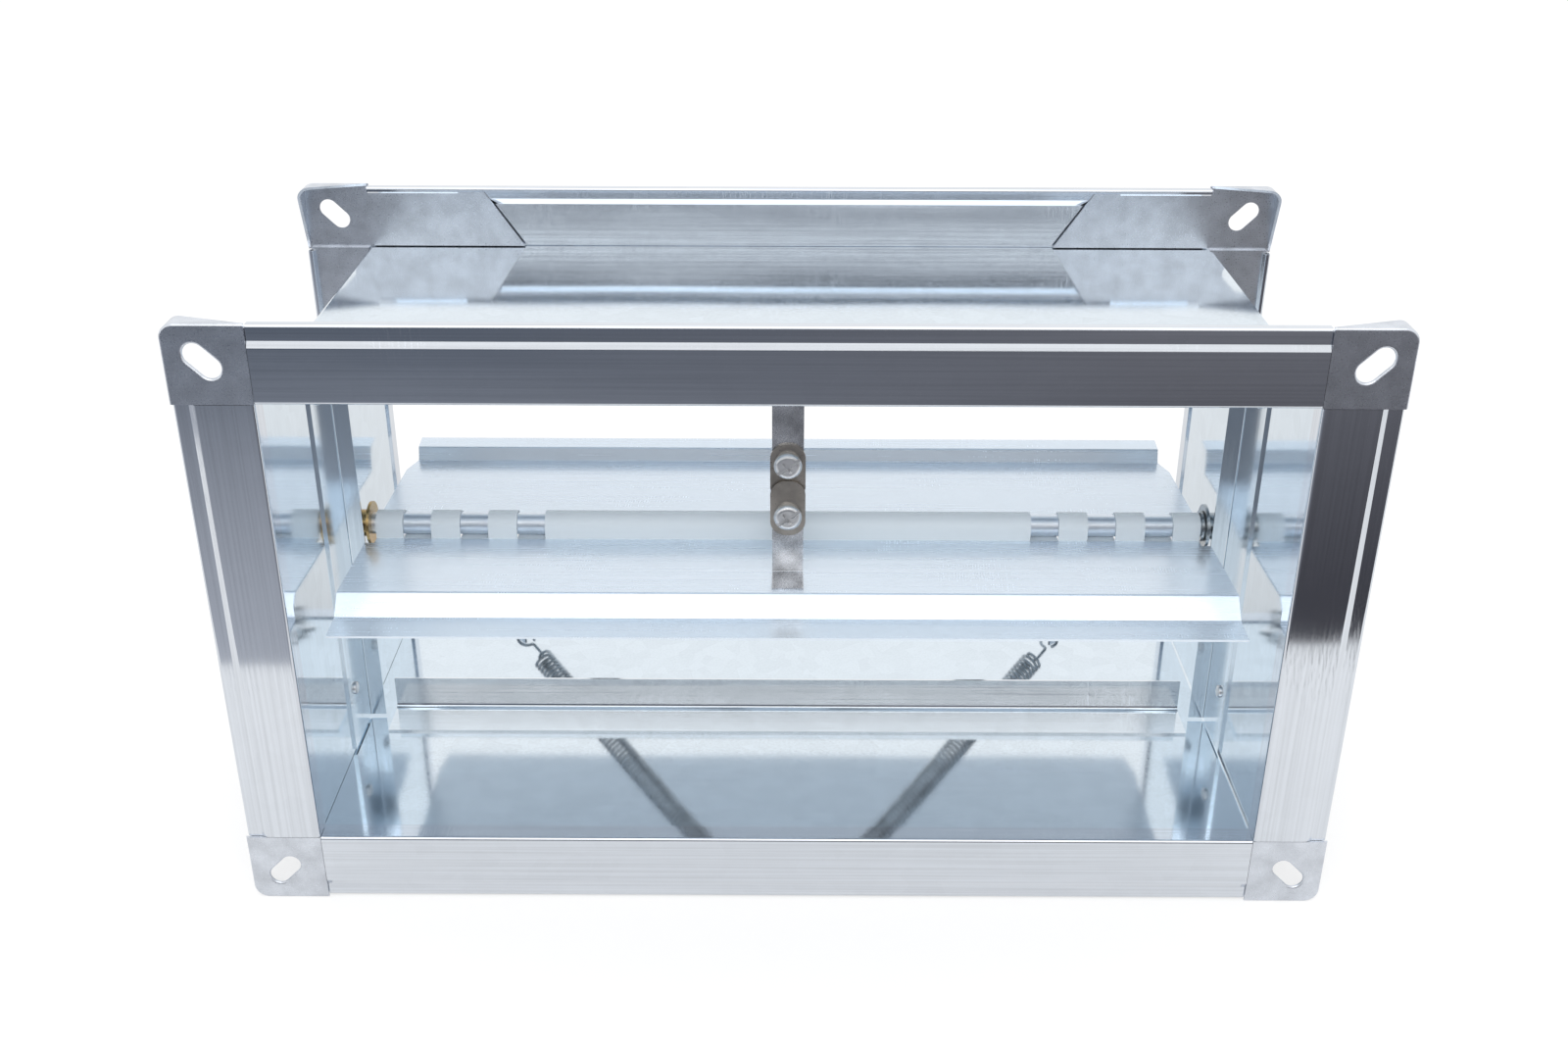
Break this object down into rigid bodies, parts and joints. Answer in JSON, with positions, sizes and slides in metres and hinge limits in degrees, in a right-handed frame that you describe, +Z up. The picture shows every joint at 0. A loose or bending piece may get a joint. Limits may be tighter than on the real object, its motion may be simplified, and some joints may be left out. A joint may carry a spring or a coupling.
{
  "type": "rectangular fire damper",
  "caption": "Flanged sheet-metal duct section with a hinged blade held open by a fusible link and closed by springs.",
  "frame": {"origin": "middle of the front flange's mating plane, on the duct's axis", "axes": "+X across the duct to the right, +Y along the duct from the front flange to the rear flange, +Z up"},
  "size_m": [0.464, 0.2062, 0.264],
  "materials": {
    "galvanised_sheet": "galvanised, mirror-like with fine streaks",
    "pressed_corner_steel": "galvanised, satin",
    "blade_sheet": "galvanised, pale and mirror-like",
    "zinc_fastener": "bright zinc plate",
    "shaft_steel": "matt zinc",
    "brass_bush": "turned brass",
    "steel_bush": "turned steel",
    "hanger_strip": "galvanised strip, dull",
    "fusible_link": "dull nickel silver",
    "spring_steel": "bare spring wire"
  },
  "bodies": {
    "casing": {"front_top_rail": "galvanised_sheet", "front_bottom_rail": "galvanised_sheet", "front_left_rail": "galvanised_sheet", "front_right_rail": "galvanised_sheet", "front_upper_left_corner": "pressed_corner_steel", "front_upper_right_corner": "pressed_corner_steel", "front_lower_left_corner": "pressed_corner_steel", "front_lower_right_corner": "pressed_corner_steel", "rear_top_rail": "galvanised_sheet", "rear_bottom_rail": "galvanised_sheet", "rear_left_rail": "galvanised_sheet", "rear_right_rail": "galvanised_sheet", "rear_upper_left_corner": "pressed_corner_steel", "rear_upper_right_corner": "pressed_corner_steel", "rear_lower_left_corner": "pressed_corner_steel", "rear_lower_right_corner": "pressed_corner_steel", "casing_left_and_top": "galvanised_sheet", "casing_right_and_floor": "galvanised_sheet", "left_side_angle": "galvanised_sheet", "right_side_angle": "galvanised_sheet", "bottom_stop": "galvanised_sheet", "top_stop": "galvanised_sheet", "left_spring_anchor": "galvanised_sheet", "right_spring_anchor": "galvanised_sheet", "left_bush": "brass_bush", "right_bush": "steel_bush", "left_angle_rivets": "zinc_fastener", "right_angle_rivets": "zinc_fastener", "link_strip_rivet": "zinc_fastener", "link_upper_strip": "hanger_strip", "link_upper_plate": "fusible_link", "link_upper_screw": "zinc_fastener", "link_upper_nut": "zinc_fastener", "left_spring": "spring_steel", "right_spring": "spring_steel"},
    "blade": {"blade": "blade_sheet", "shaft": "shaft_steel", "retaining_ring": "steel_bush", "link_lower_strip": "hanger_strip", "link_lower_plate": "fusible_link", "link_lower_screw": "zinc_fastener", "link_lower_nut": "zinc_fastener", "spring_bracket": "blade_sheet"}
  },
  "joints": [
    {"name": "blade_swing", "type": "hinge", "parent": "casing", "child": "blade", "pos_m": [0, 0.1041, -0.00075], "axis": [1, 0, 0], "range_deg": [0, 81], "deforming": ["left_spring", "right_spring"]}
  ]
}
